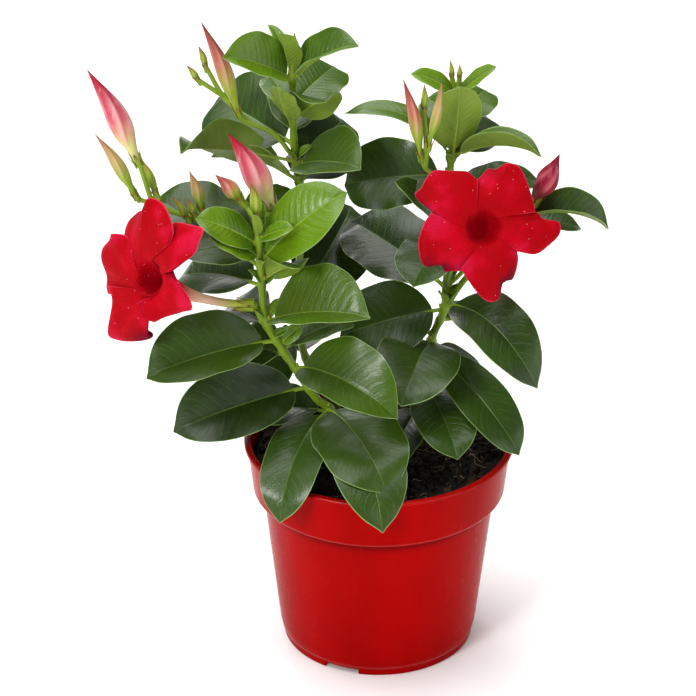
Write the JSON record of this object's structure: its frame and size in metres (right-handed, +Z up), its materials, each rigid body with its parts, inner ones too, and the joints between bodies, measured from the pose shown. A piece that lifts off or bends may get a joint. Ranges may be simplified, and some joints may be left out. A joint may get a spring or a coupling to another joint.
{
  "type": "potted brazilian jasmine",
  "caption": "Bushy climbing plant with leathery oval leaves, flat twisted-lobed red flowers and twisted pink buds, rooted in soil in a red round plastic nursery pot with a wide rim band",
  "frame": {"origin": "middle of the whole plant's footprint, on the surface that the pot stands on", "axes": "+Z up, +Y towards the plant's back, -Y towards the side that the flowers face, +X to the right as seen from the front"},
  "size_m": [0.2171, 0.1364, 0.2921],
  "materials": {
    "pot": "glossy red",
    "soil": "rough damp peat",
    "stem_left": "waxy green leaf",
    "stem_middle": "waxy green leaf",
    "stem_right": "waxy green leaf",
    "bud_pink_left": "soft matt bud",
    "bud_pale_left": "soft matt bud",
    "bud_tan_left": "soft matt bud",
    "bud_salmon_left": "soft matt bud",
    "bud_pink_middle": "soft matt bud",
    "bud_salmon_top": "soft matt bud",
    "bud_salmon_right": "soft matt bud",
    "bud_tan_right": "soft matt bud",
    "bud_crimson_right": "soft matt bud",
    "flower_left": "velvety red petal",
    "flower_right": "velvety red petal"
  },
  "bodies": {
    "root": {"pot": "pot", "soil": "soil", "stem_left": "stem_left", "stem_middle": "stem_middle", "stem_right": "stem_right", "bud_pink_left": "bud_pink_left", "bud_pale_left": "bud_pale_left", "bud_tan_left": "bud_tan_left", "bud_salmon_left": "bud_salmon_left", "bud_pink_middle": "bud_pink_middle", "bud_salmon_top": "bud_salmon_top", "bud_salmon_right": "bud_salmon_right", "bud_tan_right": "bud_tan_right", "bud_crimson_right": "bud_crimson_right", "flower_left": "flower_left", "flower_right": "flower_right"}
  },
  "joints": []
}
